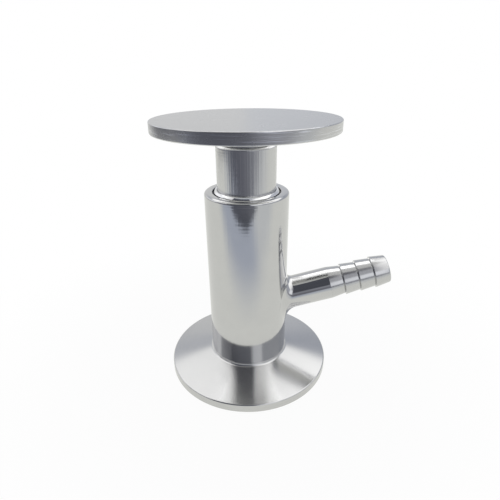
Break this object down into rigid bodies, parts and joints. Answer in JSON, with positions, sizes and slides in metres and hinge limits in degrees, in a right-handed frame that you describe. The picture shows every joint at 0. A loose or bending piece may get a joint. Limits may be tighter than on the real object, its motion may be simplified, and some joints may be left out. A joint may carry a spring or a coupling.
{
  "type": "sanitary sampling valve",
  "caption": "Sampling valve: clamp ferrule, cylindrical barrel, sloping side outlet with a hose barb, and a flat disc handle on a rising neck that lifts the sealing stem.",
  "frame": {"origin": "centre of the ferrule's clamp face", "axes": "+Z along the valve axis from the clamp face to the handle; the outlet leaves towards +X and rises 15 degrees"},
  "size_m": [0.0693, 0.0506, 0.0776],
  "materials": {
    "polished_steel": "mirror polished",
    "satin_steel": "fine turned satin",
    "turned_steel": "plain turned",
    "ptfe": "waxy matte",
    "black_rubber": "smooth",
    "white_silicone": "smooth"
  },
  "bodies": {
    "housing": {"ferrule": "satin_steel", "barrel": "polished_steel", "outlet_pipe": "polished_steel", "hose_barb": "satin_steel", "gland_bush": "ptfe", "stem_o_ring_lower": "black_rubber", "stem_o_ring_upper": "black_rubber", "gland_o_ring": "black_rubber", "lifting_screw": "turned_steel", "guide_ring": "polished_steel", "neck_wiper": "black_rubber"},
    "stem_group": {"stem": "turned_steel", "plug_seal": "white_silicone", "tip_cap": "turned_steel", "tip_screw": "turned_steel", "stem_nut": "turned_steel"},
    "handle_group": {"neck_sleeve": "polished_steel", "handle_hub": "polished_steel", "handle_disc": "satin_steel", "thrust_washer_lower": "ptfe", "thrust_washer_upper": "ptfe"}
  },
  "joints": [
    {"name": "stem_lift", "type": "slide", "parent": "housing", "child": "stem_group", "axis": [0, 0, 1], "range_m": [0, 0.006]},
    {"name": "handle_turn", "type": "hinge", "parent": "stem_group", "child": "handle_group", "pos_m": [0, 0, 0.0665], "axis": [0, 0, 1], "range_deg": [0, 720]}
  ],
  "couplings": [
    {"joint": "stem_lift", "follows": "handle_turn", "m_per_rad": 0.00047746}
  ]
}
